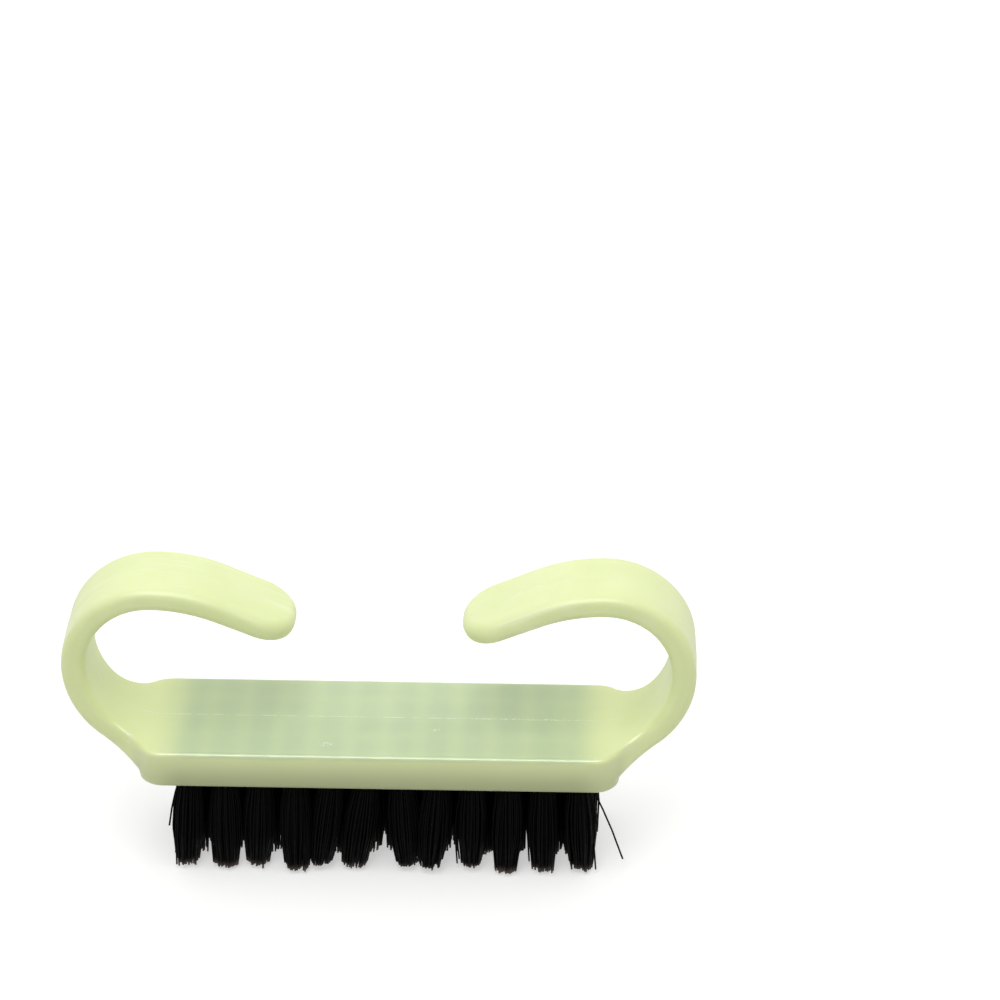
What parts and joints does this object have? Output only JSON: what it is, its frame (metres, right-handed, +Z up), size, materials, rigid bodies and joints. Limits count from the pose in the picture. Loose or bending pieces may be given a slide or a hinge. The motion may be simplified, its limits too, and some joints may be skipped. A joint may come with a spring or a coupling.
{
  "type": "nail brush",
  "caption": "Small hand nail brush: flat bristled slab whose two ends curl up and inward as open finger horns, with upright tufts of stiff bristle stapled into its underside.",
  "frame": {"origin": "on the surface the bristle tips stand on, under the middle of the slab", "axes": "+Z up from the bristle tips to the horns, +X along the slab's length, +Y across the slab, away from the viewer of the picture"},
  "size_m": [0.065, 0.0152, 0.0325],
  "materials": {
    "handle_plastic": "glossy, slightly translucent pale yellow-green moulding",
    "bristle_nylon": "black nylon filament, cut level",
    "staple_steel": "bright flat wire"
  },
  "bodies": {
    "root": {"handle": "handle_plastic", "anchor_staples": "staple_steel", "tuft_row1_01": "bristle_nylon", "tuft_row1_02": "bristle_nylon", "tuft_row1_03": "bristle_nylon", "tuft_row1_04": "bristle_nylon", "tuft_row1_05": "bristle_nylon", "tuft_row1_06": "bristle_nylon", "tuft_row1_07": "bristle_nylon", "tuft_row1_08": "bristle_nylon", "tuft_row1_09": "bristle_nylon", "tuft_row1_10": "bristle_nylon", "tuft_row1_11": "bristle_nylon", "tuft_row1_12": "bristle_nylon", "tuft_row2_01": "bristle_nylon", "tuft_row2_02": "bristle_nylon", "tuft_row2_03": "bristle_nylon", "tuft_row2_04": "bristle_nylon", "tuft_row2_05": "bristle_nylon", "tuft_row2_06": "bristle_nylon", "tuft_row2_07": "bristle_nylon", "tuft_row2_08": "bristle_nylon", "tuft_row2_09": "bristle_nylon", "tuft_row2_10": "bristle_nylon", "tuft_row2_11": "bristle_nylon", "tuft_row2_12": "bristle_nylon", "tuft_row3_01": "bristle_nylon", "tuft_row3_02": "bristle_nylon", "tuft_row3_03": "bristle_nylon", "tuft_row3_04": "bristle_nylon", "tuft_row3_05": "bristle_nylon", "tuft_row3_06": "bristle_nylon", "tuft_row3_07": "bristle_nylon", "tuft_row3_08": "bristle_nylon", "tuft_row3_09": "bristle_nylon", "tuft_row3_10": "bristle_nylon", "tuft_row3_11": "bristle_nylon", "tuft_row3_12": "bristle_nylon", "tuft_row4_01": "bristle_nylon", "tuft_row4_02": "bristle_nylon", "tuft_row4_03": "bristle_nylon", "tuft_row4_04": "bristle_nylon", "tuft_row4_05": "bristle_nylon", "tuft_row4_06": "bristle_nylon", "tuft_row4_07": "bristle_nylon", "tuft_row4_08": "bristle_nylon", "tuft_row4_09": "bristle_nylon", "tuft_row4_10": "bristle_nylon", "tuft_row4_11": "bristle_nylon", "tuft_row4_12": "bristle_nylon"}
  },
  "joints": []
}
